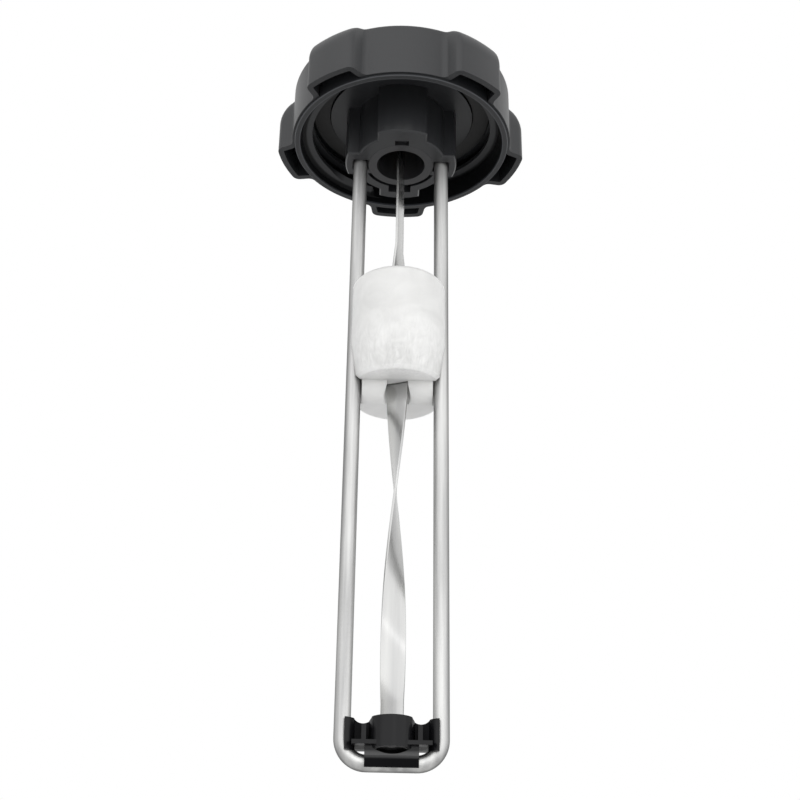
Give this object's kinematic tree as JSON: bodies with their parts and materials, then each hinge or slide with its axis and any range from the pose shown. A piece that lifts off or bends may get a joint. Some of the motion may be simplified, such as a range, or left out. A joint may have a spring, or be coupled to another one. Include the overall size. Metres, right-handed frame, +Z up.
{
  "type": "fuel gauge cap",
  "caption": "Black lobed screw cap for a fuel tank with a dial window, and a float gauge on a wire frame with a twisted ribbon below it.",
  "frame": {"origin": "on the cap's axis, in the lower face of the neck gasket, which rests on the tank's neck", "axes": "+Z up along the cap's axis, out of the tank; +X from the left wire leg to the right one; +Y to the side of the float's longer half"},
  "size_m": [0.0868, 0.0835, 0.2399],
  "materials": {
    "cap_plastic": "semi-matt moulded black, faintly grained",
    "head_plastic": "semi-gloss moulded black",
    "tube_plastic": "semi-gloss moulded dark grey",
    "gasket_rubber": "matt black",
    "clear_lens": "clear moulded window",
    "seal_rubber": "matt black",
    "dial_print": "satin white with plain black marks",
    "pointer_red": "gloss red",
    "journal_brass": "turned",
    "bush_plastic": "natural white bearing plastic",
    "spring_steel": "stamped",
    "wire_steel": "satin grey, drawn",
    "ribbon_steel": "bright rolled strip",
    "float_foam": "milky white, slightly translucent",
    "foot_plastic": "gloss black",
    "pivot_plastic": "dark bearing plastic"
  },
  "bodies": {
    "gauge_cap": {"cap_shell": "cap_plastic", "neck_gasket": "gasket_rubber", "gauge_head": "head_plastic", "guide_tube": "tube_plastic", "guide_frame": "wire_steel", "wire_retainers": "spring_steel", "foot_bracket": "foot_plastic", "spindle_bush": "bush_plastic", "dial_plate": "dial_print", "lens_seal": "seal_rubber", "lens": "clear_lens"},
    "float_body": {"float": "float_foam"},
    "ribbon_body": {"twisted_ribbon": "ribbon_steel", "spindle": "journal_brass", "pointer": "pointer_red", "lower_pivot": "pivot_plastic"}
  },
  "joints": [
    {"name": "float_slide", "type": "slide", "parent": "gauge_cap", "child": "float_body", "axis": [0, 0, 1], "range_m": [-0.1009, 0.0496]},
    {"name": "ribbon_spin", "type": "hinge", "parent": "gauge_cap", "child": "ribbon_body", "pos_m": [0, 0, 0], "axis": [0, 0, 1], "range_deg": [-92, 186]}
  ],
  "couplings": [
    {"joint": "ribbon_spin", "follows": "float_slide", "rad_per_m": -32.114}
  ]
}
